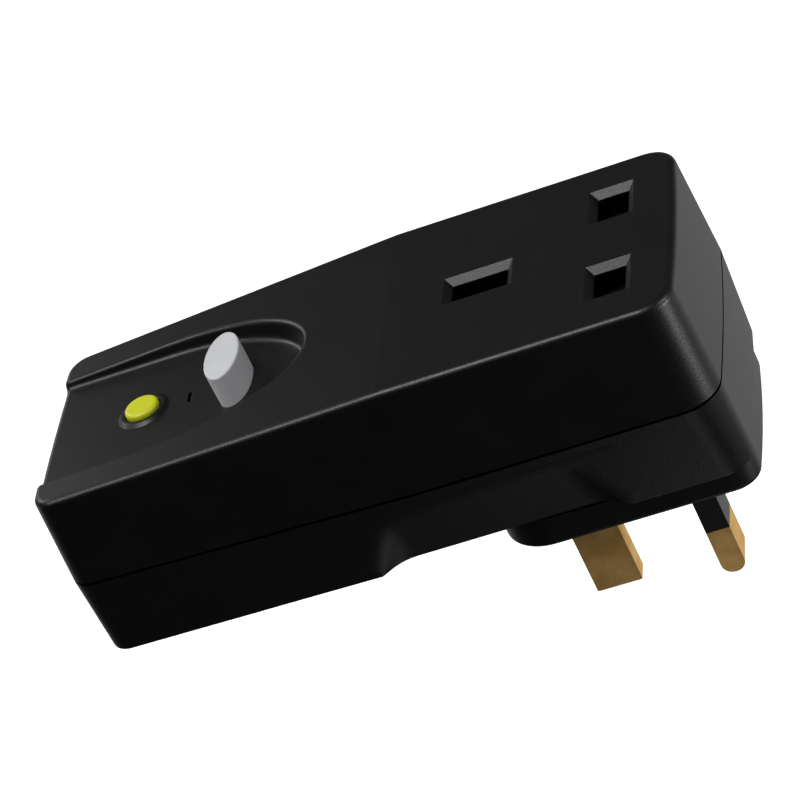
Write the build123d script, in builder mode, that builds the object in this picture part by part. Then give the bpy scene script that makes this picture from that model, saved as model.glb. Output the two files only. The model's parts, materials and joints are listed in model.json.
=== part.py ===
"""Plug-in residual current adaptor: pins and plug boss behind, socket and control panel in front.

The origin is on the plug face, midway between the line and neutral pins. X runs along the
housing towards the socket end, Y across it, and Z out of the front face.
"""
import os

from build123d import *

os.makedirs("parts", exist_ok=True)

# Pins and apertures of a 13 A three-pin plug and socket
pole_pitch = 22.2
earth_offset = 22.2
pole_pin_thickness = 4.0
pole_pin_width = 6.35
pole_pin_reach = 17.4
pole_tip_radius = 1.9
earth_pin_length = 7.95
earth_pin_thickness = 4.0
earth_pin_reach = 22.73
earth_tip_chamfer = 0.45
sleeve_reach = 8.7
pole_slot_length = 5.2
pole_slot_width = 7.4
earth_slot_length = 9.4
earth_slot_width = 5.2
slot_chamfer = 1.17

# Housing in plan, measured at the front face
socket_end_x = 10.9
body_length = 110.2
socket_end_width = 47.0
panel_end_width = 41.8
taper_start = 38.0
socket_end_bulge = 0.6
panel_end_bulge = 0.4
socket_corner_radius = 5.3
panel_corner_radius = 3.8
taper_blend_radius = 60.0

# Housing in height
front_height = 19.2
rear_height = 15.4
boss_height = 5.4
roof_drop = 2.75
shell_draft = 0.95
rear_socket_width = 42.6
rear_panel_width = 40.2
rear_socket_end_x = 11.7
rear_panel_end_x = -100.4
wall = 2.2
rim_radius = 1.2
rear_edge_radius = 0.5
seam_gap = 0.3
seam_depth = 0.6
lip_wall = 1.1
lip_height = 1.5
lip_clearance = 0.15

# Plug boss under the rear shell
boss_half_width = 18.3
boss_end_x = -32.8
boss_socket_end_x = 11.1
boss_inner_radius = 9.0
boss_outer_radius = 4.4
boss_edge_radius = 0.8

# Finger scoops in both long sides
scoop_start_x = -51.6
scoop_end_x = -9.2
scoop_end_run = 3.3
scoop_mouth_half_width = 21.1
scoop_base_half_width = 18.05
scoop_height = 13.4
scoop_lean_run = 6.4
scoop_mouth_radius = 2.6
scoop_foot_radius = 7.0
scoop_flare_run = 20.0
scoop_flare = 3.5

# Control panel recess
recess_depth = 4.2
recess_half_width = 14.1
recess_arc_start = 80.0
recess_arc_length = 26.3
recess_draft = 1.5
recess_floor_radius = 1.2
recess_rim_radius = 0.9
well_start_x = -49.5
test_x = -82.7
collar_outer = 9.1
collar_top = 7.7
collar_height = 0.5
slit_x = -74.4
slit_length = 0.6
slit_width = 2.7

# Buttons
test_diameter = 6.0
test_rise = 1.4
test_travel = 1.0
test_flange = 8.4
test_flange_thickness = 1.5
test_stem = 3.0
test_edge_radius = 0.7
reset_x = -66.2
reset_length = 6.1
reset_width = 13.4
reset_rise = 5.7
reset_travel = 3.0
reset_flange_margin = 1.2
reset_flange_thickness = 1.8
reset_stem = 4.0
reset_edge_radius = 0.35
button_gap = 0.2

# Housing screws and their posts
screw_diameter = 3.0
screw_length = 20.0
screw_head = 5.4
screw_head_height = 2.2
screw_slot = 1.0
screw_slot_depth = 1.0
post_diameter = 6.4
panel_screw_x = -90.5
panel_screw_y = 13.2
socket_screw_x = 6.7
screw_hole_margin = 0.2
screw_recess_depth = 3.0

# Pin heads, bars and leads
pin_neck_inset = 0.5
pin_head_margin = 1.5
pin_head_height = 6.0
strip = 0.8
bar_width = 4.0
bar_end_margin = 2.5
lead_diameter = 2.4
lead_bend = 3.0
lead_spread = 1.7
lead_rise_x = -50.5
lead_entry_x = -44.8
lead_exit_x = -35.4
lead_turn_y = 6.0
terminal_tail_x = -51.5
tail_length = 2.7

# Contact block with its socket contacts and shutter
block_start_x = -30.5
block_end_x = 6.5
block_half_width = 15.3
block_top_gap = 4.8
block_notch_margin = 0.6
contact_grip_margin = 0.05
contact_blade_width = 5.8
earth_blade_width = 7.2
well_margin = 0.3
pole_well_depth = 15.0
contact_top_gap = 1.0
shutter_clearance = 0.2
shutter_travel = 6.0
shutter_tongue_width = 8.0
shutter_tongue_cover = 0.5
shutter_bar_start = -9.5
shutter_bar_end = -3.4
shutter_spine_width = 9.6
shutter_start_x = -30.5
shutter_window_margin = 0.3
shutter_ramp = 5.0
shutter_ramp_edge = 0.3
rail_width = 1.2
rail_end_x = -16.2
spring_rib_x = -42.7
spring_rib_width = 10.0
shutter_spring_outer = 2.2
shutter_spring_inner = 1.4
chimney_wall = 1.2
chimney_depth = 2.2

# Current transformer
core_start_x = -42.5
core_length = 6.0
core_outer = 17.0
core_inner = 9.0
winding_depth = 1.1
core_axis_height = 12.9
cradle_width = 12.0
cradle_length = 4.0
cradle_height = 7.4

# Circuit board
board_height = 2.4
board_thickness = 1.6
board_start_x = -94.5
board_end_x = -47.5
board_width = 35.0
board_notch_x = -86.8
board_notch_width = 18.6
board_screw_diameter = 2.0
board_screw_head = 3.8
board_screw_head_height = 1.3
board_screw_length = 5.5
board_post_diameter = 4.4
board_screw_x = -82.4
board_screw_y = 10.0
board_middle_screw_x = -50.5

# Contact system
pad_height = 2.0
pad_length = 4.8
rivet_diameter = 3.0
fixed_rivet_height = 1.2
moving_rivet_height = 1.0
contact_pitch = 9.8
closed_gap = 0.05
bridge_length = 13.8
carrier_length = 6.0
carrier_width = 27.2
carrier_thickness = 3.6
catch_length = 2.7
catch_width = 5.0
catch_thickness = 1.2
reset_spring_inner = 4.6
reset_spring_outer = 6.0

# Chassis over the board
deck_start_x = -93.5
deck_end_x = -57.0
deck_width = 34.0
deck_thickness = 1.6
deck_leg = 2.0
deck_leg_start_x = -85.0
deck_leg_end_x = -58.4
leaf_thickness = 0.4
leaf_width = 3.0
leaf_start_x = -92.5
leaf_base = 3.0
leaf_over = 1.7
test_stem_length = 2.4
stud_diameter = 2.4

# Trip solenoid and latch
latch_face_x = -75.6
latch_thickness = 1.6
latch_width = 6.0
latch_hub = 3.0
latch_pin_diameter = 1.5
latch_pin_length = 9.6
latch_gap = 0.1
nose_length = 1.8
nose_thickness = 1.2
nose_width = 5.0
bracket_length = 3.0
bracket_lug = 1.2
bracket_plate = 0.8
bracket_rise = 2.0
hub_clearance = 0.4
plunger_gap = 0.5
plunger_diameter = 4.1
plunger_length = 8.5
tip_diameter = 2.0
solenoid_front_gap = 2.0
yoke_plate = 1.2
yoke_length = 15.5
yoke_width = 12.0
yoke_hole = 3.2
bobbin_size = 10.8
bobbin_flange = 1.0
bobbin_tube_wall = 0.8
coil_margin = 0.3
plunger_spring_outer = 3.6
plunger_spring_inner = 2.6

# Electronic parts
chip_length = 6.6
chip_width = 9.6
chip_height = 3.8
capacitor_x = -56.0
capacitor_length = 5.0
capacitor_width = 10.0
capacitor_height = 8.4
varistor_x = -52.4
varistor_y = 15.6
varistor_diameter = 8.0
varistor_thickness = 2.6
diode_diameter = 2.2
diode_length = 4.2
diode_pitch = 5.4
diode_y = 15.0
resistor_x = -76.9
resistor_y = 10.5
resistor_length = 6.0
resistor_diameter = 2.4

# Running and seating clearances
running_fit = 0.05
gap = 0.3
overrun = 1.0

# Levels worked out from the heights
parting_z = boss_height + rear_height
face_z = parting_z + front_height
panel_z = face_z - recess_depth
panel_under_z = panel_z - wall
roof_under_z = face_z - wall
floor_z = boss_height + wall
boss_floor_z = wall
pin_head_z = boss_floor_z + pin_head_height
block_z = pin_head_z + strip
block_top_z = face_z - wall - block_top_gap
board_z = floor_z + board_height
board_top_z = board_z + board_thickness
pad_z = board_top_z + pad_height
rivet_z = pad_z + strip + fixed_rivet_height
bridge_z = rivet_z + reset_travel + closed_gap + moving_rivet_height
carrier_z = bridge_z + strip
carrier_top_z = carrier_z + carrier_thickness
deck_z = carrier_top_z + gap
deck_top_z = deck_z + deck_thickness
flange_top_z = panel_under_z - button_gap
core_axis_z = floor_z + core_axis_height
solenoid_z = board_top_z + yoke_plate + bobbin_size / 2 + running_fit
pivot_z = board_top_z + bracket_plate + hub_clearance + latch_hub / 2
panel_end_x = socket_end_x - body_length
earth_x = -earth_offset
pole_y = pole_pitch / 2
reset_under_z = flange_top_z - reset_flange_thickness
leaf_top_z = flange_top_z - test_flange_thickness - test_stem_length
pole_well_z = block_top_z - pole_well_depth
blade_outer = pole_pin_thickness / 2 + contact_grip_margin + strip
shutter_z = block_top_z + shutter_clearance
shutter_thickness = face_z - wall - chimney_depth - block_top_z - 2 * shutter_clearance
window_start_x = earth_x - earth_pin_length / 2 - shutter_window_margin + shutter_travel
supply_start_x = reset_x - contact_pitch / 2 - pad_length / 2
load_start_x = reset_x + contact_pitch / 2 - pad_length / 2
pivot_x = latch_face_x + latch_thickness / 2
nose_z = carrier_top_z - reset_travel + latch_gap
yoke_start_x = latch_face_x - solenoid_front_gap - yoke_length
bobbin_start_x = yoke_start_x + yoke_plate + running_fit
bobbin_end_x = yoke_start_x + yoke_length - yoke_plate - running_fit
bobbin_tube = plunger_diameter + 2 * running_fit + 2 * bobbin_tube_wall
shoulder_x = bobbin_end_x - bobbin_flange
roof_limit = 0.9
cross_share = 0.7
lead_bends = (lead_bend, lead_bend, lead_bend, lead_bend)
screw_places = (
    (panel_screw_x, panel_screw_y, boss_height + screw_recess_depth),
    (panel_screw_x, -panel_screw_y, boss_height + screw_recess_depth),
    (socket_screw_x, 0, screw_recess_depth),
)
board_screw_places = (
    (board_screw_x, board_screw_y),
    (board_screw_x, -board_screw_y),
    (board_middle_screw_x, 0),
)
slot_reach = max(pole_slot_width, earth_slot_length) / 2 + running_fit
roof_slope = roof_drop / (body_length - socket_end_x - taper_start)


def housing_plan(socket_half, panel_half, right, left, trim=0):
    """Draw the housing outline in the open sketch, its corners drawn in by the trim."""
    with BuildLine() as outline:
        socket_arc = ThreePointArc(
            (right - socket_end_bulge, -socket_half), (right, 0), (right - socket_end_bulge, socket_half)
        )
        far_side = Polyline(
            socket_arc @ 1, (-taper_start, socket_half), (left + panel_end_bulge, panel_half)
        )
        panel_arc = ThreePointArc(far_side @ 1, (left, 0), (left + panel_end_bulge, -panel_half))
        Polyline(panel_arc @ 1, (-taper_start, -socket_half), socket_arc @ 0)
    make_face(outline.edges())
    in_order = vertices().sort_by(Axis.X)
    fillet(in_order[:2], radius=panel_corner_radius - trim)
    in_order = vertices().sort_by(Axis.X)
    fillet(in_order[-2:], radius=socket_corner_radius - trim)
    kinks = vertices().sort_by(lambda corner: abs(corner.X + taper_start))
    fillet(kinks[:2], radius=taper_blend_radius)


def face_plan(inset=0):
    """Outline of the housing at the front face."""
    housing_plan(
        socket_end_width / 2 - inset,
        panel_end_width / 2 - inset,
        socket_end_x - inset,
        panel_end_x + inset,
        inset,
    )


def parting_plan(inset=0):
    """Outline of the housing where the two shells meet."""
    face_plan(inset - shell_draft)


def rear_plan(inset=0):
    """Outline of the rear shell at its lowest edge."""
    housing_plan(
        rear_socket_width / 2 - inset,
        rear_panel_width / 2 - inset,
        rear_socket_end_x - inset,
        rear_panel_end_x + inset,
        inset,
    )


def on_rim(edge, roof):
    """Tell whether an edge borders exactly one of the roof faces."""
    owners = [face for face in roof if any(edge.is_same(other) for other in face.edges())]
    return len(owners) == 1


def is_mouth(edge):
    """Tell whether an edge is the mouth of a socket aperture in the front face."""
    middle = edge.center()
    in_pole_slots = abs(middle.X) < slot_reach and abs(abs(middle.Y) - pole_y) < slot_reach
    in_earth_slot = abs(middle.X - earth_x) < slot_reach and abs(middle.Y) < slot_reach
    at_face = abs(middle.Z - face_z) < running_fit
    return at_face and (in_pole_slots or in_earth_slot)


def recess_plan(grow=0):
    """Outline of the control panel recess, open at the panel end."""
    half = recess_half_width + grow
    with BuildLine() as outline:
        nose = EllipticalCenterArc(
            (-recess_arc_start, 0), recess_arc_length + grow, half, start_angle=-90, arc_size=180
        )
        Polyline(
            nose @ 1,
            (panel_end_x - overrun, half),
            (panel_end_x - overrun, -half),
            nose @ 0,
        )
    make_face(outline.edges())


def front_plan_at(level, inset=0):
    """Outline of the front shell at a level between the parting line and the front face."""
    face_plan(inset - shell_draft * (face_z - level) / front_height)


def boss_plan(inset=0):
    """Outline of the plug boss, its socket end bowed like the housing's."""
    half = boss_half_width - inset
    right = boss_socket_end_x - inset
    with BuildLine() as outline:
        socket_arc = ThreePointArc(
            (right - socket_end_bulge, -half), (right, 0), (right - socket_end_bulge, half)
        )
        Polyline(
            socket_arc @ 1,
            (boss_end_x + inset, half),
            (boss_end_x + inset, -half),
            socket_arc @ 0,
        )
    make_face(outline.edges())
    in_order = vertices().sort_by(Axis.X)
    fillet(in_order[:2], radius=boss_inner_radius - inset)
    in_order = vertices().sort_by(Axis.X)
    fillet(in_order[-2:], radius=boss_outer_radius - inset)


def scoop_plan(shift, run):
    """Outline of the near finger scoop after its walls have run outwards, grown by the shift."""
    with BuildLine() as outline:
        Polyline(
            (scoop_end_x + scoop_flare_run, -socket_end_width),
            (scoop_end_x + scoop_flare_run, -scoop_mouth_half_width - scoop_flare),
            (scoop_end_x, -scoop_mouth_half_width),
            (scoop_end_x - scoop_end_run, -scoop_base_half_width),
            (scoop_start_x + scoop_end_run, -scoop_base_half_width),
            (scoop_start_x, -scoop_mouth_half_width),
            (scoop_start_x - scoop_flare_run, -scoop_mouth_half_width - scoop_flare),
            (scoop_start_x - scoop_flare_run, -socket_end_width),
            close=True,
        )
    make_face(outline.edges())
    if shift != run:
        offset(amount=shift - run, kind=Kind.INTERSECTION)
    mouths = vertices().group_by(Axis.Y)[-2]
    fillet(mouths, radius=scoop_mouth_radius + run)
    feet = vertices().group_by(Axis.Y)[-1]
    fillet(feet, radius=scoop_foot_radius - run)


def scoop_solid(grow=0):
    """Space that a finger scoop takes out of the near side, or its wall's inner face when grown."""
    with BuildPart() as scoop:
        for rise in (-overrun, scoop_height):
            with BuildSketch(Plane.XY.offset(boss_height + rise)):
                scoop_plan(grow, scoop_lean_run * rise / scoop_height)
        loft(ruled=True)
    return scoop.part


def parting_hole(inset):
    """Take the parting outline, drawn in by the inset, out of the open sketch."""
    with BuildSketch(mode=Mode.PRIVATE) as hole:
        parting_plan(inset)
    add(hole.sketch, mode=Mode.SUBTRACT)


# Front shell: socket face, sloping panel end, recess and apertures
with BuildPart() as front_shell:
    with BuildSketch(Plane.XY.offset(parting_z)):
        parting_plan()
    with BuildSketch(Plane.XY.offset(face_z)):
        face_plan()
    loft(ruled=True)
    with BuildSketch(Plane.XZ):
        with BuildLine():
            Polyline(
                (-taper_start, face_z),
                (panel_end_x - overrun, face_z - roof_drop - roof_slope * overrun),
                (panel_end_x - overrun, face_z + overrun),
                (-taper_start, face_z + overrun),
                close=True,
            )
        make_face()
    extrude(amount=socket_end_width, both=True, mode=Mode.SUBTRACT)
    roof = faces().filter_by(lambda face: face.normal_at().Z > roof_limit)
    fillet(edges().filter_by(lambda edge: on_rim(edge, roof)), radius=rim_radius)
    # Recess with a level floor, a fillet at its foot and a rounded rim
    with BuildSketch(Plane.XY.offset(panel_z)):
        recess_plan()
    with BuildSketch(Plane.XY.offset(face_z + overrun)):
        recess_plan(recess_draft)
    loft(ruled=True, mode=Mode.SUBTRACT)
    upward = faces().filter_by(lambda face: face.normal_at().Z > roof_limit)
    panel = upward.sort_by(lambda face: abs(face.center().Z - panel_z))[0]
    foot = panel.edges().filter_by(lambda edge: edge.center().X > panel_end_x + panel_end_bulge)
    fillet(foot, radius=recess_floor_radius)
    roof = upward.filter_by(lambda face: face.center().Z > panel_z + wall)
    rim = edges().filter_by(lambda edge: on_rim(edge, roof) and edge.center().X < -taper_start)
    rim = rim.filter_by(lambda edge: abs(edge.center().Y) < recess_half_width + recess_draft)
    fillet(rim, radius=recess_rim_radius)
    # Collar round the test button
    with BuildSketch(Plane.XY.offset(panel_z)):
        with Locations((test_x, 0)):
            Circle(collar_outer / 2)
    with BuildSketch(Plane.XY.offset(panel_z + collar_height)):
        with Locations((test_x, 0)):
            Circle(collar_top / 2)
    loft()
    # Hollow under the panel and under the socket face
    with BuildSketch(Plane.XY.offset(parting_z)):
        front_plan_at(parting_z, wall)
    with BuildSketch(Plane.XY.offset(panel_under_z)):
        front_plan_at(panel_under_z, wall)
    loft(ruled=True, mode=Mode.SUBTRACT)
    with BuildSketch(Plane.XY.offset(panel_under_z)):
        front_plan_at(panel_under_z, wall)
        with Locations((panel_end_x - overrun, 0)):
            Rectangle(
                well_start_x - panel_end_x + overrun,
                socket_end_width,
                align=(Align.MIN, Align.CENTER),
                mode=Mode.SUBTRACT,
            )
    extrude(amount=roof_under_z - panel_under_z, mode=Mode.SUBTRACT)
    # Chimneys round the apertures, screw posts and the rib behind the shutter spring
    with BuildSketch(Plane.XY.offset(roof_under_z)):
        with Locations((0, pole_y), (0, -pole_y)):
            Rectangle(pole_slot_length + 2 * chimney_wall, pole_slot_width + 2 * chimney_wall)
        with Locations((earth_x, 0)):
            Rectangle(earth_slot_length + 2 * chimney_wall, earth_slot_width + 2 * chimney_wall)
    extrude(amount=-chimney_depth)
    with BuildSketch(Plane.XY.offset(parting_z)):
        with Locations((panel_screw_x, panel_screw_y), (panel_screw_x, -panel_screw_y)):
            Circle(post_diameter / 2)
    extrude(amount=panel_under_z - parting_z)
    with BuildSketch(Plane.XY.offset(parting_z)):
        with Locations((socket_screw_x, 0)):
            Circle(post_diameter / 2)
    extrude(amount=roof_under_z - parting_z)
    with BuildSketch(Plane.XY.offset(roof_under_z)):
        with Locations((spring_rib_x, 0)):
            Rectangle(wall, spring_rib_width, align=(Align.MAX, Align.CENTER))
    extrude(amount=-block_top_gap)
    # Holes for screws, pins, buttons and the slit
    with BuildSketch(Plane.XY.offset(parting_z)):
        with Locations(
            (panel_screw_x, panel_screw_y), (panel_screw_x, -panel_screw_y), (socket_screw_x, 0)
        ):
            Circle(screw_diameter / 2)
    extrude(amount=boss_height + screw_recess_depth + screw_length + overrun - parting_z, mode=Mode.SUBTRACT)
    with BuildSketch(Plane.XY.offset(face_z)):
        with Locations((0, pole_y), (0, -pole_y)):
            Rectangle(pole_slot_length, pole_slot_width)
        with Locations((earth_x, 0)):
            Rectangle(earth_slot_length, earth_slot_width)
    extrude(amount=-wall - chimney_depth - overrun, mode=Mode.SUBTRACT)
    mouths = edges().filter_by(lambda edge: is_mouth(edge))
    chamfer(mouths, length=slot_chamfer)
    with BuildSketch(Plane.XY.offset(panel_z + collar_height + overrun)):
        with Locations((test_x, 0)):
            Circle(test_diameter / 2 + button_gap)
        with Locations((reset_x, 0)):
            Ellipse(reset_length / 2 + button_gap, reset_width / 2 + button_gap)
        with Locations((slit_x, 0)):
            Rectangle(slit_length, slit_width)
    extrude(amount=-wall - collar_height - 2 * overrun, mode=Mode.SUBTRACT)
    # Fine step along the lower outer edge, seen as a dark seam
    with BuildSketch(Plane.XY.offset(parting_z)):
        parting_plan(-overrun)
        parting_hole(seam_depth)
    extrude(amount=seam_gap, mode=Mode.SUBTRACT)
front_shell.part.label = "front_shell"
export_step(front_shell.part, "parts/front_shell.step")

# Hollow of the rear shell
with BuildPart() as rear_hollow:
    with BuildSketch(Plane.XY.offset(floor_z)):
        rear_plan(wall)
    with BuildSketch(Plane.XY.offset(parting_z)):
        parting_plan(wall)
    loft(ruled=True)
    near_wall = scoop_solid(wall)
    add(near_wall, mode=Mode.SUBTRACT)
    add(mirror(near_wall, about=Plane.XZ, mode=Mode.PRIVATE), mode=Mode.SUBTRACT)
    with BuildSketch(Plane.XY.offset(boss_floor_z)):
        boss_plan(wall)
    extrude(amount=floor_z - boss_floor_z)

# Rear shell: plug boss, finger scoops and posts
with BuildPart() as rear_shell:
    with BuildSketch(Plane.XY.offset(boss_height)):
        rear_plan()
    with BuildSketch(Plane.XY.offset(parting_z)):
        parting_plan()
    loft(ruled=True)
    near_scoop = scoop_solid()
    add(near_scoop, mode=Mode.SUBTRACT)
    add(mirror(near_scoop, about=Plane.XZ, mode=Mode.PRIVATE), mode=Mode.SUBTRACT)
    fillet(faces().sort_by(Axis.Z)[0].edges(), radius=rear_edge_radius)
    with BuildSketch():
        boss_plan()
    extrude(amount=boss_height)
    plug_face = faces().sort_by(Axis.Z)[0]
    fillet(plug_face.edges(), radius=boss_edge_radius)
    add(rear_hollow.part, mode=Mode.SUBTRACT)
    # Locating lip that reaches into the front shell
    with BuildSketch(Plane.XY.offset(parting_z - lip_height)):
        parting_plan(wall - lip_clearance)
        parting_hole(wall + lip_clearance + lip_wall)
    extrude(amount=lip_height)
    with BuildSketch(Plane.XY.offset(parting_z)):
        parting_plan(wall + lip_clearance)
        parting_hole(wall + lip_clearance + lip_wall)
        with Locations(*((x, y) for x, y, seat in screw_places)):
            Circle(post_diameter / 2 + lip_clearance, mode=Mode.SUBTRACT)
    extrude(amount=lip_height)
    # Screw posts, board posts and the cradle under the current transformer
    with BuildSketch(Plane.XY.offset(boss_height)):
        with Locations((panel_screw_x, panel_screw_y), (panel_screw_x, -panel_screw_y)):
            Circle(post_diameter / 2)
    extrude(amount=rear_height)
    with BuildSketch():
        with Locations((socket_screw_x, 0)):
            Circle(post_diameter / 2)
    extrude(amount=parting_z)
    with BuildSketch(Plane.XY.offset(boss_height)):
        with Locations(*board_screw_places):
            Circle(board_post_diameter / 2)
    extrude(amount=board_z - boss_height)
    with BuildSketch(Plane.XY.offset(boss_height)):
        with Locations((core_start_x + core_length / 2, 0)):
            Rectangle(cradle_length, cradle_width)
    extrude(amount=wall + cradle_height)
    with BuildSketch(Plane.YZ.offset(core_start_x - overrun)):
        with Locations((0, core_axis_z)):
            Circle(core_outer / 2 + running_fit)
    extrude(amount=core_length + 2 * overrun, mode=Mode.SUBTRACT)
    # Holes for screws and pins
    with BuildSketch(Plane.XY.offset(boss_height)):
        with Locations((panel_screw_x, panel_screw_y), (panel_screw_x, -panel_screw_y)):
            Circle(screw_head / 2 + screw_hole_margin)
    extrude(amount=screw_recess_depth, mode=Mode.SUBTRACT)
    with BuildSketch():
        with Locations((socket_screw_x, 0)):
            Circle(screw_head / 2 + screw_hole_margin)
    extrude(amount=screw_recess_depth, mode=Mode.SUBTRACT)
    with BuildSketch():
        with Locations(*((x, y) for x, y, seat in screw_places)):
            Circle(screw_diameter / 2 + screw_hole_margin)
    extrude(amount=parting_z + overrun, mode=Mode.SUBTRACT)
    with BuildSketch(Plane.XY.offset(board_z)):
        with Locations(*board_screw_places):
            Circle(board_screw_diameter / 2)
    extrude(amount=board_thickness - board_screw_length, mode=Mode.SUBTRACT)
    with BuildSketch():
        with Locations((0, pole_y), (0, -pole_y)):
            Rectangle(pole_pin_thickness, pole_pin_width)
        with Locations((earth_x, 0)):
            Rectangle(earth_pin_length, earth_pin_thickness)
    extrude(amount=wall, mode=Mode.SUBTRACT)
rear_shell.part.label = "rear_shell"
export_step(rear_shell.part, "parts/rear_shell.step")

# Housing screws
with BuildPart() as housing_screws:
    for place_x, place_y, seat in screw_places:
        with BuildSketch(Plane.XY.offset(seat)):
            with Locations((place_x, place_y)):
                Circle(screw_diameter / 2)
        extrude(amount=screw_length)
        with BuildSketch(Plane.XY.offset(seat)):
            with Locations((place_x, place_y)):
                Circle(screw_head / 2)
        extrude(amount=-screw_head_height)
        for turn in (0, 90):
            with BuildSketch(Plane.XY.offset(seat - screw_head_height)):
                with Locations((place_x, place_y)):
                    Rectangle(screw_head * cross_share, screw_slot, rotation=turn)
            extrude(amount=screw_slot_depth, mode=Mode.SUBTRACT)
housing_screws.part.label = "housing_screws"
export_step(housing_screws.part, "parts/housing_screws.step")

# Test button
with BuildPart() as test_button:
    with BuildSketch(Plane.XY.offset(flange_top_z)):
        with Locations((test_x, 0)):
            Circle(test_diameter / 2)
    extrude(amount=panel_z + test_rise - flange_top_z)
    fillet(edges().group_by(Axis.Z)[-1], radius=test_edge_radius)
    with BuildSketch(Plane.XY.offset(flange_top_z)):
        with Locations((test_x, 0)):
            Circle(test_flange / 2)
    extrude(amount=-test_flange_thickness)
    with BuildSketch(Plane.XY.offset(flange_top_z - test_flange_thickness)):
        with Locations((test_x, 0)):
            Circle(test_stem / 2)
    extrude(amount=-test_stem_length)
test_button.part.label = "test_button"
export_step(test_button.part, "parts/test_button.step")

# Reset button, seated on the contact carrier by its stem
with BuildPart() as reset_button:
    with BuildSketch(Plane.XY.offset(flange_top_z)):
        with Locations((reset_x, 0)):
            Ellipse(reset_length / 2, reset_width / 2)
    extrude(amount=panel_z + reset_rise - flange_top_z)
    fillet(edges().group_by(Axis.Z)[-1], radius=reset_edge_radius)
    with BuildSketch(Plane.XY.offset(flange_top_z)):
        with Locations((reset_x, 0)):
            Ellipse(reset_length / 2 + reset_flange_margin, reset_width / 2 + reset_flange_margin)
    extrude(amount=-reset_flange_thickness)
    with BuildSketch(Plane.XY.offset(carrier_top_z)):
        with Locations((reset_x, 0)):
            Circle(reset_stem / 2)
    extrude(amount=reset_under_z - carrier_top_z)
reset_button.part.label = "reset_button"
export_step(reset_button.part, "parts/reset_button.step")

# Return spring under the reset button
with BuildPart() as reset_spring:
    with BuildSketch(Plane.XY.offset(deck_top_z)):
        with Locations((reset_x, 0)):
            Circle(reset_spring_outer / 2)
            Circle(reset_spring_inner / 2, mode=Mode.SUBTRACT)
    extrude(amount=reset_under_z - deck_top_z)
reset_spring.part.label = "reset_spring"
export_step(reset_spring.part, "parts/reset_spring.step")

# Contact carrier that rides with the reset button
with BuildPart() as contact_carrier:
    with BuildSketch(Plane.XY.offset(carrier_z)):
        with Locations((reset_x, 0)):
            Rectangle(carrier_length, carrier_width)
    extrude(amount=carrier_thickness)
    fillet(edges().filter_by(Axis.Z), radius=strip)
    with BuildSketch(Plane.XY.offset(carrier_top_z)):
        with Locations((reset_x - carrier_length / 2 + strip, 0)):
            Rectangle(catch_length + strip, catch_width, align=(Align.MAX, Align.CENTER))
    extrude(amount=-catch_thickness)
contact_carrier.part.label = "contact_carrier"
export_step(contact_carrier.part, "parts/contact_carrier.step")

# Chassis over the board, with the guide hole for the reset stem
with BuildPart() as chassis:
    with BuildSketch(Plane.XY.offset(deck_z)):
        with Locations(((deck_start_x + deck_end_x) / 2, 0)):
            Rectangle(deck_end_x - deck_start_x, deck_width)
        with Locations((deck_start_x, 0)):
            Rectangle(
                2 * (board_notch_x - deck_start_x),
                deck_width,
                mode=Mode.SUBTRACT,
            )
            Rectangle(
                board_notch_x - deck_start_x,
                board_notch_width,
                align=(Align.MIN, Align.CENTER),
            )
        with Locations((reset_x, 0)):
            Circle(reset_stem / 2 + latch_gap, mode=Mode.SUBTRACT)
    extrude(amount=deck_thickness)
    with BuildSketch(Plane.XY.offset(board_top_z)):
        for leg_x in (deck_leg_start_x, deck_leg_end_x):
            for side in (1, -1):
                with Locations((leg_x, side * (deck_width - deck_leg) / 2)):
                    Rectangle(deck_leg, deck_leg)
    extrude(amount=deck_z - board_top_z)
chassis.part.label = "chassis"
export_step(chassis.part, "parts/chassis.step")

# Spring leaf that the test button bends down onto its stud
with BuildPart() as test_leaf:
    with BuildSketch(Plane.XZ):
        with Locations((leaf_start_x, deck_top_z)):
            Rectangle(leaf_base, leaf_thickness, align=(Align.MIN, Align.MIN))
            Rectangle(leaf_thickness, leaf_top_z - deck_top_z, align=(Align.MIN, Align.MIN))
        with Locations((leaf_start_x, leaf_top_z)):
            Rectangle(test_x + leaf_over - leaf_start_x, leaf_thickness, align=(Align.MIN, Align.MAX))
    extrude(amount=leaf_width / 2, both=True)
test_leaf.part.label = "test_leaf"
export_step(test_leaf.part, "parts/test_leaf.step")

with BuildPart() as test_stud:
    with BuildSketch(Plane.XY.offset(deck_top_z)):
        with Locations((test_x, 0)):
            Circle(stud_diameter / 2)
    extrude(amount=leaf_top_z - leaf_thickness - test_travel - closed_gap - deck_top_z)
test_stud.part.label = "test_stud"
export_step(test_stud.part, "parts/test_stud.step")

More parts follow.
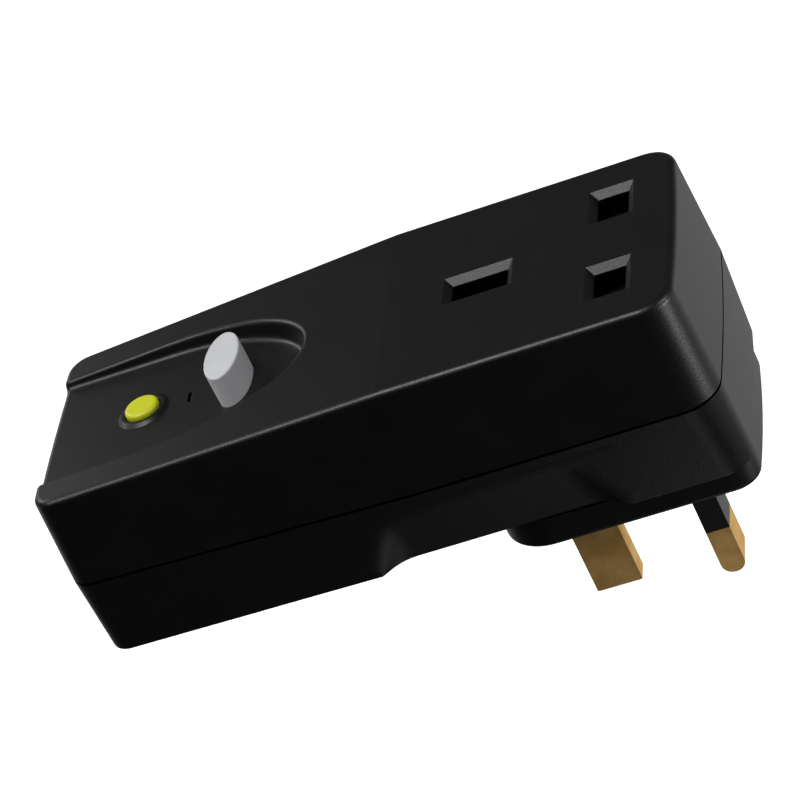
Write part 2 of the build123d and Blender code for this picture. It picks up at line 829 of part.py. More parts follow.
# Line and neutral paths, alike on both sides
for pole, side in (("line", 1), ("neutral", -1)):
    centre_y = side * pole_y
    # Pin with a neck inside its sleeve and a head on the boss floor
    with BuildPart() as pin:
        with BuildSketch(Plane.XY.offset(-pole_pin_reach)):
            with Locations((0, centre_y)):
                Rectangle(pole_pin_thickness, pole_pin_width)
        extrude(amount=pole_pin_reach - sleeve_reach)
        tip = edges().group_by(Axis.Z)[0]
        fillet(tip.filter_by(Axis.Y), radius=pole_tip_radius)
        with BuildSketch(Plane.XY.offset(-sleeve_reach)):
            with Locations((0, centre_y)):
                Rectangle(pole_pin_thickness - 2 * pin_neck_inset, pole_pin_width - 2 * pin_neck_inset)
        extrude(amount=sleeve_reach + wall)
        with BuildSketch(Plane.XY.offset(boss_floor_z)):
            with Locations((0, centre_y)):
                Rectangle(pole_pin_thickness + 2 * pin_head_margin, pole_pin_width + pin_head_margin)
        extrude(amount=pin_head_height)
    pin.part.label = pole + "_pin"
    export_step(pin.part, "parts/" + pole + "_pin.step")

    with BuildPart() as sleeve:
        with BuildSketch(Plane.XY.offset(-sleeve_reach)):
            with Locations((0, centre_y)):
                Rectangle(pole_pin_thickness, pole_pin_width)
                Rectangle(
                    pole_pin_thickness - 2 * pin_neck_inset,
                    pole_pin_width - 2 * pin_neck_inset,
                    mode=Mode.SUBTRACT,
                )
        extrude(amount=sleeve_reach + wall)
    sleeve.part.label = pole + "_sleeve"
    export_step(sleeve.part, "parts/" + pole + "_sleeve.step")

    # Supply bar from the pin head to the fixed contact under the board
    with BuildPart() as bar:
        with BuildSketch(Plane.XZ.offset(-centre_y)):
            with Locations((supply_start_x, pin_head_z)):
                Rectangle(bar_end_margin - supply_start_x, strip, align=(Align.MIN, Align.MIN))
                Rectangle(strip, pad_z + strip - pin_head_z, align=(Align.MIN, Align.MIN))
            with Locations((supply_start_x, pad_z)):
                Rectangle(pad_length, strip, align=(Align.MIN, Align.MIN))
        extrude(amount=bar_width / 2, both=True)
        with BuildSketch(Plane.XY.offset(pad_z)):
            with Locations((reset_x - contact_pitch / 2, centre_y)):
                Circle(rivet_diameter / 2)
        extrude(amount=strip + fixed_rivet_height)
    bar.part.label = pole + "_supply_bar"
    export_step(bar.part, "parts/" + pole + "_supply_bar.step")

    # Load terminal standing on the board
    with BuildPart() as terminal:
        with BuildSketch(Plane.XZ.offset(-centre_y)):
            with Locations((load_start_x, pad_z)):
                Rectangle(pad_length, strip, align=(Align.MIN, Align.MIN))
            with Locations((load_start_x + pad_length, board_top_z)):
                Rectangle(strip, pad_z + strip - board_top_z, align=(Align.MAX, Align.MIN))
                Rectangle(
                    terminal_tail_x - load_start_x - pad_length + strip,
                    strip,
                    align=(Align.MIN, Align.MIN),
                )
        extrude(amount=bar_width / 2, both=True)
        with BuildSketch(Plane.XY.offset(pad_z)):
            with Locations((reset_x + contact_pitch / 2, centre_y)):
                Circle(rivet_diameter / 2)
        extrude(amount=strip + fixed_rivet_height)
    terminal.part.label = pole + "_load_terminal"
    export_step(terminal.part, "parts/" + pole + "_load_terminal.step")

    # Bridge with two moving contacts under the carrier
    with BuildPart() as bridge:
        with BuildSketch(Plane.XY.offset(bridge_z)):
            with Locations((reset_x, centre_y)):
                Rectangle(bridge_length, bar_width)
        extrude(amount=strip)
        with BuildSketch(Plane.XY.offset(bridge_z)):
            with Locations(
                (reset_x - contact_pitch / 2, centre_y), (reset_x + contact_pitch / 2, centre_y)
            ):
                Circle(rivet_diameter / 2)
        extrude(amount=-moving_rivet_height)
    bridge.part.label = pole + "_bridge"
    export_step(bridge.part, "parts/" + pole + "_bridge.step")

    # Socket contact: two blades on a base, with a tail through the block
    with BuildPart() as contact:
        with BuildSketch(Plane.XY.offset(pole_well_z)):
            with Locations((0, centre_y)):
                Rectangle(2 * blade_outer, contact_blade_width)
            with Locations((block_start_x - tail_length, centre_y)):
                Rectangle(
                    tail_length - block_start_x - blade_outer + strip,
                    bar_width,
                    align=(Align.MIN, Align.CENTER),
                )
        extrude(amount=strip)
        with BuildSketch(Plane.XY.offset(pole_well_z)):
            for edge_side in (1, -1):
                with Locations((edge_side * (blade_outer - strip / 2), centre_y)):
                    Rectangle(strip, contact_blade_width)
        extrude(amount=block_top_z - contact_top_gap - pole_well_z)
    contact.part.label = pole + "_contact"
    export_step(contact.part, "parts/" + pole + "_contact.step")

    # Insulated lead from the load terminal through the transformer to the socket contact
    lead_z = pole_well_z + strip + lead_diameter / 2
    board_lead_z = board_top_z + strip + lead_diameter / 2
    lead_points = (
        (terminal_tail_x - strip - lead_diameter, centre_y, board_lead_z),
        (lead_rise_x, centre_y, board_lead_z),
        (lead_entry_x, side * lead_spread, core_axis_z),
        (lead_exit_x, side * lead_spread, core_axis_z),
        (block_start_x - lead_diameter / 2 - gap, side * lead_turn_y, lead_z),
        (block_start_x - lead_diameter / 2 - gap, centre_y + side * bar_width / 2, lead_z),
    )
    with BuildPart() as lead:
        with BuildLine() as route:
            FilletPolyline(*lead_points, radius=lead_bends)
        with BuildSketch(Plane(origin=lead_points[0], z_dir=(1, 0, 0))):
            Circle(lead_diameter / 2)
        sweep(path=route.wires()[0])
    lead.part.label = pole + "_lead"
    export_step(lead.part, "parts/" + pole + "_lead.step")

# Earth pin and the earth contact that stands on its head
with BuildPart() as earth_pin:
    with BuildSketch(Plane.XY.offset(-earth_pin_reach)):
        with Locations((earth_x, 0)):
            Rectangle(earth_pin_length, earth_pin_thickness)
    extrude(amount=earth_pin_reach + wall)
    chamfer(edges().group_by(Axis.Z)[0], length=earth_tip_chamfer)
    with BuildSketch(Plane.XY.offset(boss_floor_z)):
        with Locations((earth_x, 0)):
            Rectangle(earth_pin_length + pin_head_margin, earth_pin_thickness + 2 * pin_head_margin)
    extrude(amount=pin_head_height)
earth_pin.part.label = "earth_pin"
export_step(earth_pin.part, "parts/earth_pin.step")

with BuildPart() as earth_contact:
    with BuildSketch(Plane.XY.offset(pin_head_z)):
        with Locations((earth_x, 0)):
            Rectangle(earth_blade_width, 2 * blade_outer)
    extrude(amount=strip)
    with BuildSketch(Plane.XY.offset(pin_head_z)):
        for edge_side in (1, -1):
            with Locations((earth_x, edge_side * (blade_outer - strip / 2))):
                Rectangle(earth_blade_width, strip)
    extrude(amount=block_top_z - contact_top_gap - pin_head_z)
earth_contact.part.label = "earth_contact"
export_step(earth_contact.part, "parts/earth_contact.step")

# Contact block that holds the socket contacts and clamps the pins
with BuildPart() as contact_block:
    with BuildSketch(Plane.XY.offset(block_z)):
        with Locations((block_start_x, 0)):
            Rectangle(
                block_end_x - block_start_x,
                2 * block_half_width,
                align=(Align.MIN, Align.CENTER),
            )
        with Locations((socket_screw_x, 0)):
            Circle(post_diameter / 2 + block_notch_margin, mode=Mode.SUBTRACT)
            Rectangle(
                post_diameter,
                post_diameter + 2 * block_notch_margin,
                align=(Align.MIN, Align.CENTER),
                mode=Mode.SUBTRACT,
            )
    extrude(amount=block_top_z - block_z)
    with BuildSketch(Plane.XY.offset(block_top_z)):
        for side in (1, -1):
            with Locations((block_start_x, side * (shutter_spine_width / 2 + latch_gap))):
                Rectangle(
                    rail_end_x - block_start_x,
                    rail_width,
                    align=(Align.MIN, Align.MIN if side > 0 else Align.MAX),
                )
    extrude(amount=shutter_thickness)
    with BuildSketch(Plane.XY.offset(pole_well_z)):
        with Locations((0, pole_y), (0, -pole_y)):
            Rectangle(2 * (blade_outer + well_margin), contact_blade_width + 2 * well_margin)
    extrude(amount=block_top_z - pole_well_z, mode=Mode.SUBTRACT)
    with BuildSketch(Plane.XY.offset(pole_well_z)):
        for side in (1, -1):
            with Locations((block_start_x, side * pole_y)):
                Rectangle(
                    -block_start_x,
                    bar_width + well_margin,
                    align=(Align.MIN, Align.CENTER),
                )
    extrude(amount=strip + well_margin, mode=Mode.SUBTRACT)
    with BuildSketch(Plane.XY.offset(block_z)):
        with Locations((earth_x, 0)):
            Rectangle(earth_slot_length + well_margin, 2 * (blade_outer + well_margin))
    extrude(amount=block_top_z - block_z, mode=Mode.SUBTRACT)
contact_block.part.label = "contact_block"
export_step(contact_block.part, "parts/contact_block.step")

# Safety shutter over the line and neutral contacts, moved by the earth pin of a plug
with BuildPart() as shutter:
    with BuildSketch(Plane.XY.offset(shutter_z)):
        with Locations((shutter_start_x, 0)):
            Rectangle(
                shutter_bar_end - shutter_start_x,
                shutter_spine_width,
                align=(Align.MIN, Align.CENTER),
            )
        with Locations((shutter_bar_start, 0)):
            Rectangle(
                shutter_bar_end - shutter_bar_start,
                pole_pitch + shutter_tongue_width,
                align=(Align.MIN, Align.CENTER),
            )
        for side in (1, -1):
            with Locations((shutter_bar_start, side * pole_y)):
                Rectangle(
                    pole_slot_length / 2 + shutter_tongue_cover - shutter_bar_start,
                    shutter_tongue_width,
                    align=(Align.MIN, Align.CENTER),
                )
        with Locations((window_start_x, 0)):
            Rectangle(
                earth_pin_length + 2 * shutter_window_margin,
                earth_slot_width + shutter_window_margin,
                align=(Align.MIN, Align.CENTER),
                mode=Mode.SUBTRACT,
            )
    extrude(amount=shutter_thickness)
    with BuildSketch(Plane.XZ):
        with BuildLine():
            Polyline(
                (window_start_x - shutter_ramp, shutter_z + shutter_thickness),
                (window_start_x, shutter_z + shutter_ramp_edge),
                (window_start_x, shutter_z + shutter_thickness),
                close=True,
            )
        make_face()
    extrude(amount=(earth_slot_width + shutter_window_margin) / 2, both=True, mode=Mode.SUBTRACT)
shutter.part.label = "shutter"
export_step(shutter.part, "parts/shutter.step")

with BuildPart() as shutter_spring:
    with BuildSketch(Plane.YZ.offset(spring_rib_x)):
        with Locations((0, shutter_z + shutter_thickness / 2)):
            Circle(shutter_spring_outer / 2)
            Circle(shutter_spring_inner / 2, mode=Mode.SUBTRACT)
    extrude(amount=shutter_start_x - spring_rib_x)
shutter_spring.part.label = "shutter_spring"
export_step(shutter_spring.part, "parts/shutter_spring.step")

# Current transformer: ring core inside its winding
with BuildPart() as transformer_core:
    with BuildSketch(Plane.YZ.offset(core_start_x + winding_depth)):
        with Locations((0, core_axis_z)):
            Circle(core_outer / 2 - winding_depth)
            Circle(core_inner / 2 + winding_depth, mode=Mode.SUBTRACT)
    extrude(amount=core_length - 2 * winding_depth)
transformer_core.part.label = "transformer_core"
export_step(transformer_core.part, "parts/transformer_core.step")

with BuildPart() as transformer_winding:
    with BuildSketch(Plane.YZ.offset(core_start_x)):
        with Locations((0, core_axis_z)):
            Circle(core_outer / 2)
            Circle(core_inner / 2, mode=Mode.SUBTRACT)
    extrude(amount=core_length)
    add(transformer_core.part, mode=Mode.SUBTRACT)
transformer_winding.part.label = "transformer_winding"
export_step(transformer_winding.part, "parts/transformer_winding.step")

# Circuit board with slots for the supply bars
with BuildPart() as circuit_board:
    with BuildSketch(Plane.XY.offset(board_z)):
        with Locations((board_start_x, 0)):
            Rectangle(
                board_end_x - board_start_x,
                board_notch_width,
                align=(Align.MIN, Align.CENTER),
            )
        with Locations((board_notch_x, 0)):
            Rectangle(
                board_end_x - board_notch_x,
                board_width,
                align=(Align.MIN, Align.CENTER),
            )
        with Locations((supply_start_x + strip / 2, pole_y), (supply_start_x + strip / 2, -pole_y)):
            Rectangle(strip + gap, bar_width + gap, mode=Mode.SUBTRACT)
        with Locations(*board_screw_places):
            Circle(board_screw_diameter / 2 + latch_gap, mode=Mode.SUBTRACT)
    extrude(amount=board_thickness)
circuit_board.part.label = "circuit_board"
export_step(circuit_board.part, "parts/circuit_board.step")

with BuildPart() as board_screws:
    for place in board_screw_places:
        with BuildSketch(Plane.XY.offset(board_top_z)):
            with Locations(place):
                Circle(board_screw_diameter / 2)
        extrude(amount=-board_screw_length)
        with BuildSketch(Plane.XY.offset(board_top_z)):
            with Locations(place):
                Circle(board_screw_head / 2)
        extrude(amount=board_screw_head_height)
board_screws.part.label = "board_screws"
export_step(board_screws.part, "parts/board_screws.step")

# Trip solenoid: yoke, bobbin, coil, plunger and its spring
with BuildPart() as solenoid_yoke:
    with BuildSketch(Plane.XY.offset(board_top_z)):
        with Locations((yoke_start_x, 0)):
            Rectangle(yoke_length, yoke_width, align=(Align.MIN, Align.CENTER))
    extrude(amount=yoke_plate)
    with BuildSketch(Plane.XY.offset(board_top_z)):
        with Locations((yoke_start_x, 0)):
            Rectangle(yoke_plate, yoke_width, align=(Align.MIN, Align.CENTER))
        with Locations((yoke_start_x + yoke_length, 0)):
            Rectangle(yoke_plate, yoke_width, align=(Align.MAX, Align.CENTER))
    extrude(amount=yoke_plate + bobbin_size + 2 * running_fit)
    with BuildSketch(Plane.YZ.offset(yoke_start_x + yoke_length / 2)):
        with Locations((0, solenoid_z)):
            Circle(yoke_hole / 2)
    extrude(amount=yoke_length, mode=Mode.SUBTRACT)
solenoid_yoke.part.label = "solenoid_yoke"
export_step(solenoid_yoke.part, "parts/solenoid_yoke.step")

with BuildPart() as solenoid_bobbin:
    with BuildSketch(Plane.YZ.offset(bobbin_start_x)):
        with Locations((0, solenoid_z)):
            Rectangle(bobbin_size, bobbin_size)
    extrude(amount=bobbin_flange)
    with BuildSketch(Plane.YZ.offset(bobbin_end_x)):
        with Locations((0, solenoid_z)):
            Rectangle(bobbin_size, bobbin_size)
    extrude(amount=-bobbin_flange)
    with BuildSketch(Plane.YZ.offset(bobbin_start_x)):
        with Locations((0, solenoid_z)):
            Circle(bobbin_tube / 2)
    extrude(amount=bobbin_end_x - bobbin_start_x)
    with BuildSketch(Plane.YZ.offset(bobbin_start_x)):
        with Locations((0, solenoid_z)):
            Circle(plunger_diameter / 2 + running_fit)
    extrude(amount=bobbin_end_x - bobbin_flange - bobbin_start_x, mode=Mode.SUBTRACT)
    with BuildSketch(Plane.YZ.offset(bobbin_start_x)):
        with Locations((0, solenoid_z)):
            Circle(tip_diameter / 2 + running_fit)
    extrude(amount=bobbin_end_x - bobbin_start_x, mode=Mode.SUBTRACT)
solenoid_bobbin.part.label = "solenoid_bobbin"
export_step(solenoid_bobbin.part, "parts/solenoid_bobbin.step")

with BuildPart() as solenoid_coil:
    with BuildSketch(Plane.YZ.offset(bobbin_start_x + bobbin_flange)):
        with Locations((0, solenoid_z)):
            Circle(bobbin_size / 2 - coil_margin)
            Circle(bobbin_tube / 2, mode=Mode.SUBTRACT)
    extrude(amount=bobbin_end_x - bobbin_start_x - 2 * bobbin_flange)
solenoid_coil.part.label = "solenoid_coil"
export_step(solenoid_coil.part, "parts/solenoid_coil.step")

with BuildPart() as plunger:
    with BuildSketch(Plane.YZ.offset(shoulder_x - plunger_length)):
        with Locations((0, solenoid_z)):
            Circle(plunger_diameter / 2)
    extrude(amount=plunger_length)
    with BuildSketch(Plane.YZ.offset(shoulder_x)):
        with Locations((0, solenoid_z)):
            Circle(tip_diameter / 2)
    extrude(amount=latch_face_x - plunger_gap - shoulder_x)
plunger.part.label = "plunger"
export_step(plunger.part, "parts/plunger.step")

with BuildPart() as plunger_spring:
    with BuildSketch(Plane.YZ.offset(bobbin_start_x)):
        with Locations((0, solenoid_z)):
            Circle(plunger_spring_outer / 2)
            Circle(plunger_spring_inner / 2, mode=Mode.SUBTRACT)
    extrude(amount=shoulder_x - plunger_length - bobbin_start_x)
plunger_spring.part.label = "plunger_spring"
export_step(plunger_spring.part, "parts/plunger_spring.step")

# Latch lever on its pin and bracket
with BuildPart() as latch_bracket:
    with BuildSketch(Plane.XY.offset(board_top_z)):
        with Locations((pivot_x, 0)):
            Rectangle(bracket_length, latch_pin_length)
    extrude(amount=bracket_plate)
    with BuildSketch(Plane.XY.offset(board_top_z)):
        for side in (1, -1):
            with Locations((pivot_x, side * (latch_pin_length - bracket_lug) / 2)):
                Rectangle(bracket_length, bracket_lug)
    extrude(amount=pivot_z + bracket_rise - board_top_z)
    with BuildSketch(Plane.XZ):
        with Locations((pivot_x, pivot_z)):
            Circle(latch_pin_diameter / 2 + running_fit)
    extrude(amount=latch_pin_length, both=True, mode=Mode.SUBTRACT)
latch_bracket.part.label = "latch_bracket"
export_step(latch_bracket.part, "parts/latch_bracket.step")

with BuildPart() as latch_pin:
    with BuildSketch(Plane.XZ):
        with Locations((pivot_x, pivot_z)):
            Circle(latch_pin_diameter / 2)
    extrude(amount=latch_pin_length / 2, both=True)
latch_pin.part.label = "latch_pin"
export_step(latch_pin.part, "parts/latch_pin.step")

with BuildPart() as latch_lever:
    with BuildSketch(Plane.XZ):
        with Locations((pivot_x, pivot_z)):
            Circle(latch_hub / 2)
            Rectangle(
                latch_thickness,
                nose_z + nose_thickness - pivot_z,
                align=(Align.CENTER, Align.MIN),
            )
    extrude(amount=latch_width / 2, both=True)
    with BuildSketch(Plane.XZ):
        with Locations((pivot_x + latch_thickness / 2 - latch_gap, nose_z)):
            Rectangle(nose_length + latch_gap, nose_thickness, align=(Align.MIN, Align.MIN))
    extrude(amount=nose_width / 2, both=True)
    with BuildSketch(Plane.XZ):
        with Locations((pivot_x, pivot_z)):
            Circle(latch_pin_diameter / 2 + running_fit)
    extrude(amount=latch_width, both=True, mode=Mode.SUBTRACT)
latch_lever.part.label = "latch_lever"
export_step(latch_lever.part, "parts/latch_lever.step")

# Electronic parts on the board
with BuildPart() as trip_chip:
    with BuildSketch(Plane.XY.offset(board_top_z)):
        with Locations((reset_x, 0)):
            Rectangle(chip_length, chip_width)
    extrude(amount=chip_height)
trip_chip.part.label = "trip_chip"
export_step(trip_chip.part, "parts/trip_chip.step")

with BuildPart() as capacitor:
    with BuildSketch(Plane.XY.offset(board_top_z)):
        with Locations((capacitor_x, 0)):
            Rectangle(capacitor_length, capacitor_width)
    extrude(amount=capacitor_height)
    fillet(edges().filter_by(Axis.Z), radius=strip)
capacitor.part.label = "capacitor"
export_step(capacitor.part, "parts/capacitor.step")

with BuildPart() as varistor:
    with BuildSketch(Plane.XZ.offset(-varistor_y)):
        with Locations((varistor_x, board_top_z + varistor_diameter / 2)):
            Circle(varistor_diameter / 2)
    extrude(amount=varistor_thickness / 2, both=True)
varistor.part.label = "varistor"
export_step(varistor.part, "parts/varistor.step")

with BuildPart() as diodes:
    for side in (1, -1):
        for step_side in (1, -1):
            centre_x = reset_x + step_side * diode_pitch / 2
            with BuildSketch(Plane.YZ.offset(centre_x)):
                with Locations((side * diode_y, board_top_z + diode_diameter / 2)):
                    Circle(diode_diameter / 2)
            extrude(amount=diode_length / 2, both=True)
diodes.part.label = "diodes"
export_step(diodes.part, "parts/diodes.step")

with BuildPart() as resistors:
    for side in (1, -1):
        with BuildSketch(Plane.XZ.offset(-side * resistor_y)):
            with Locations((resistor_x, board_top_z + resistor_diameter / 2)):
                Circle(resistor_diameter / 2)
        extrude(amount=resistor_length / 2, both=True)
resistors.part.label = "resistors"
export_step(resistors.part, "parts/resistors.step")
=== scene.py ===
"""Residual current adaptor: finishes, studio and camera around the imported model."""
import json

import bpy
from mathutils import Matrix, Vector


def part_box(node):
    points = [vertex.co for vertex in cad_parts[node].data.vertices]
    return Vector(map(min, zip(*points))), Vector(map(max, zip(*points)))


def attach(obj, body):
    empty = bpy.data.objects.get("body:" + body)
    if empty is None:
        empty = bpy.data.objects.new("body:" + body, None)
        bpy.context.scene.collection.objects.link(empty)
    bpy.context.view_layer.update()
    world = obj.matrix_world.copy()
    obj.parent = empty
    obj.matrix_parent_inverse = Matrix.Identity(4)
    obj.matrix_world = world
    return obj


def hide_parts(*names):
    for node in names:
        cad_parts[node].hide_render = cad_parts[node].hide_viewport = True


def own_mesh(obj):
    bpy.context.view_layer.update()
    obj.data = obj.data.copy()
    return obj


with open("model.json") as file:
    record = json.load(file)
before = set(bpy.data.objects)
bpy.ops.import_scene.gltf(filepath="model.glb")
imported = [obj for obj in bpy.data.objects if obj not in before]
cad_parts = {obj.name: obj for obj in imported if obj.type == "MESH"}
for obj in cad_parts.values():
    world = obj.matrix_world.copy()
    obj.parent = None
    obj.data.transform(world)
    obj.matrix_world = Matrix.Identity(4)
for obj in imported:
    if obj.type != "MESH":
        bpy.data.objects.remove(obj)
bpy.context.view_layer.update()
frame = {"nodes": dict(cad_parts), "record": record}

MM = 0.001

# A Mix node set to colour: its two colour inputs and its colour output
MIX_A = 6
MIX_B = 7
MIX_RESULT = 2

# Noise levels between which a colour drifts from its dark to its light shade
SHADE_STOPS = (0.35, 0.65)

# Moulded plastic: patches in which the shade drifts, and reach of the painted shadow in a gap
PATCH_MM = 9.0
CAVITY_MM = 5.0
# Share of open sky over a point at which painted shade makes a gap black, and at which no shade is
# painted
SKY_BLACK = 0.2
SKY_LIT = 0.5

# Seam of the two shells: height of its middle, half the width of its painted shadow, and where the
# painted shadow ends
SEAM_Z = 20.95 * MM
SEAM_HALF = 0.2 * MM
SEAM_EDGE = 0.26 * MM

# Regions of the housing: axis, place where each begins and place where it is full, in millimetres
SCOOP_MOUTHS = (("X", -57, -54), ("X", -5, -8), ("Z", 5.9, 7.4), ("Z", 20.0, 18.6))
# The aperture walls get painted shade
APERTURE_WALLS = (
    ("X", -29, -28), ("X", 5, 4), ("Y", -16, -15), ("Y", 16, 15), ("Z", 30, 31), ("Z", 38.9, 38.7)
)
# Share of colour and sheen that painted shade leaves on the aperture walls
PAINTED_WALL_LEVEL = 0.1
# Housing edges: radius of a plain edge and of the mouths of the scoops, in millimetres
EDGE_RADII = (0.15, 4.0)

# Metal: how much the die lines are drawn out, and size of the patches that handling leaves
LINE_STRETCH = 0.06
HANDLING_MM = 3.5

# Wave texture: bands repeat after this many units at a scale of 1
WAVE_TURN = 6.283


def linear(code):
    """An sRGB hex colour as linear red, green, blue and a full alpha."""
    channels = [int(code[i:i + 2], 16) / 255 for i in (1, 3, 5)]
    return [c / 12.92 if c <= 0.04045 else ((c + 0.055) / 1.055) ** 2.4 for c in channels] + [1.0]


def add(tree, kind, inputs=(), settings=()):
    """Adds a shader node with its properties; inputs gives its sockets values or other sockets."""
    node = tree.nodes.new(kind)
    for key, value in dict(settings).items():
        setattr(node, key, value)
    for key, value in dict(inputs).items():
        if isinstance(value, bpy.types.NodeSocket):
            tree.links.new(value, node.inputs[key])
        else:
            node.inputs[key].default_value = value
    return node


def start(name, surface):
    """A new material with a Principled shader that has the surface's even values."""
    material = bpy.data.materials.new(name)
    material.use_nodes = True
    tree = material.node_tree
    tree.nodes.clear()
    shader = add(tree, "ShaderNodeBsdfPrincipled", surface)
    add(tree, "ShaderNodeOutputMaterial", {"Surface": shader.outputs["BSDF"]})
    place = add(tree, "ShaderNodeTexCoord").outputs["Object"]
    return material, tree, shader, place


def mottle(tree, place, patch_mm, dark, light):
    """A colour that drifts between two shades over patches of a real size, with the noise behind it."""
    noise = add(
        tree, "ShaderNodeTexNoise", {"Vector": place, "Scale": 1 / (patch_mm * MM), "Detail": 3.0}
    )
    ramp = add(tree, "ShaderNodeValToRGB", {"Fac": noise.outputs["Fac"]})
    for stop, at, colour in zip(ramp.color_ramp.elements, SHADE_STOPS, (dark, light)):
        stop.position = at
        stop.color = linear(colour)
    return ramp.outputs["Color"], noise.outputs["Fac"]


def raise_by(tree, shader, height, depth_mm, under=None):
    """Bumps the shader's surface by a height pattern of a real depth, over another bump if given."""
    inputs = {"Height": height, "Distance": depth_mm * MM, "Strength": 1.0}
    if under is not None:
        inputs["Normal"] = under
    bump = add(tree, "ShaderNodeBump", inputs)
    tree.links.new(bump.outputs["Normal"], shader.inputs["Normal"])
    return bump.outputs["Normal"]


def region(tree, place, limits):
    """A value that is 1 inside limits along the axes and 0 outside, with soft borders."""
    axes = add(tree, "ShaderNodeSeparateXYZ", {"Vector": place}).outputs
    share = 1.0
    for axis, start_mm, full_mm in limits:
        edge = add(
            tree, "ShaderNodeMapRange",
            {"Value": axes[axis], "From Min": start_mm * MM, "From Max": full_mm * MM},
            {"interpolation_type": "SMOOTHSTEP"},
        ).outputs["Result"]
        both = add(tree, "ShaderNodeMath", {0: edge, 1: share}, {"operation": "MULTIPLY"})
        share = both.outputs["Value"]
    return share


def edge_softness(tree, place, plain_mm, scoop_mm):
    """Edge radius that a mould gives: small everywhere and wide round the mouths of the finger scoops."""
    mouths = region(tree, place, SCOOP_MOUTHS)
    radius = add(
        tree, "ShaderNodeMapRange", {"Value": mouths, "To Min": plain_mm * MM, "To Max": scoop_mm * MM}
    ).outputs["Result"]
    return add(tree, "ShaderNodeBevel", {"Radius": radius}, {"samples": 8}).outputs["Normal"]


def paint_shade_in_gaps(tree, shader, place, colour):
    """Painted shade: takes colour and sheen away in narrow gaps, along the seam and on the walls of the
    apertures.
    """
    open_share = add(
        tree, "ShaderNodeAmbientOcclusion", {"Distance": CAVITY_MM * MM}, {"samples": 8}
    ).outputs["AO"]
    in_gap = add(
        tree, "ShaderNodeMapRange", {"Value": open_share, "From Min": SKY_BLACK, "From Max": SKY_LIT}
    ).outputs["Result"]
    height = add(tree, "ShaderNodeSeparateXYZ", {"Vector": place}).outputs["Z"]
    above = add(tree, "ShaderNodeMath", {0: height, 1: SEAM_Z}, {"operation": "SUBTRACT"})
    aside = add(tree, "ShaderNodeMath", {0: above.outputs["Value"]}, {"operation": "ABSOLUTE"})
    at_seam = add(
        tree, "ShaderNodeMapRange",
        {"Value": aside.outputs["Value"], "From Min": SEAM_HALF, "From Max": SEAM_EDGE},
    ).outputs["Result"]
    walls = region(tree, place, APERTURE_WALLS)
    on_walls = add(
        tree, "ShaderNodeMapRange", {"Value": walls, "To Min": 1.0, "To Max": PAINTED_WALL_LEVEL}
    ).outputs["Result"]
    left_by_painted_shade = in_gap
    for painted_shadow in (at_seam, on_walls):
        both = add(tree, "ShaderNodeMath", {0: left_by_painted_shade, 1: painted_shadow}, {"operation": "MULTIPLY"})
        left_by_painted_shade = both.outputs["Value"]
    # Painted shade: the colour is mixed toward black, and below the sheen is taken away
    shade = add(
        tree, "ShaderNodeMix", {"Factor": left_by_painted_shade, MIX_A: linear("#000000"), MIX_B: colour},
        {"data_type": "RGBA"},
    )
    tree.links.new(shade.outputs[MIX_RESULT], shader.inputs["Base Color"])
    full_sheen = shader.inputs["Specular IOR Level"].default_value
    sheen = add(tree, "ShaderNodeMapRange", {"Value": left_by_painted_shade, "To Min": 0.0, "To Max": full_sheen})
    tree.links.new(sheen.outputs["Result"], shader.inputs["Specular IOR Level"])


def moulded(name, dark, light, rough_low, rough_high, texture_mm, depth_mm, surface, soft_mm=None):
    """Injection-moulded plastic: a spark-eroded grain in the surface and slight drift in its shade.

    The real grain is about 0.1 mm, too fine to show, so it is drawn as coarse as texture_mm.
    """
    material, tree, shader, place = start(name, surface)
    colour, _ = mottle(tree, place, PATCH_MM, dark, light)
    # With soft_mm given, painted shade darkens gaps, the seam and the aperture walls
    if soft_mm:
        paint_shade_in_gaps(tree, shader, place, colour)
    else:
        tree.links.new(colour, shader.inputs["Base Color"])
    grain = add(tree, "ShaderNodeTexVoronoi", {"Vector": place, "Scale": 1 / (texture_mm * MM)})
    fine = add(
        tree, "ShaderNodeTexNoise", {"Vector": place, "Scale": 1 / (texture_mm * MM), "Detail": 4.0}
    )
    sheen = add(
        tree, "ShaderNodeMapRange",
        {"Value": fine.outputs["Fac"], "To Min": rough_low, "To Max": rough_high},
    )
    tree.links.new(sheen.outputs["Result"], shader.inputs["Roughness"])
    soft = edge_softness(tree, place, *soft_mm) if soft_mm else None
    under = raise_by(tree, shader, grain.outputs["Distance"], depth_mm, soft)
    raise_by(tree, shader, fine.outputs["Fac"], depth_mm, under)
    return material


def drawn_metal(name, dark, light, rough_low, rough_high, line_mm, depth_mm, along):
    """Drawn or stamped metal: fine lines along one direction and faint handling marks.

    Real die lines are about 0.05 mm apart, too fine to show, so they are drawn as coarse as line_mm.
    """
    material, tree, shader, place = start(name, {"Metallic": 1.0})
    stretch = [1.0, 1.0, 1.0]
    stretch[along] = LINE_STRETCH
    lines_at = add(tree, "ShaderNodeMapping", {"Vector": place, "Scale": stretch}).outputs["Vector"]
    lines = add(
        tree, "ShaderNodeTexNoise", {"Vector": lines_at, "Scale": 1 / (line_mm * MM), "Detail": 5.0}
    ).outputs["Fac"]
    colour, marks = mottle(tree, place, HANDLING_MM, dark, light)
    tree.links.new(colour, shader.inputs["Base Color"])
    sheen = add(tree, "ShaderNodeMapRange", {"Value": marks, "To Min": rough_low, "To Max": rough_high})
    tree.links.new(sheen.outputs["Result"], shader.inputs["Roughness"])
    raise_by(tree, shader, lines, depth_mm)
    return material


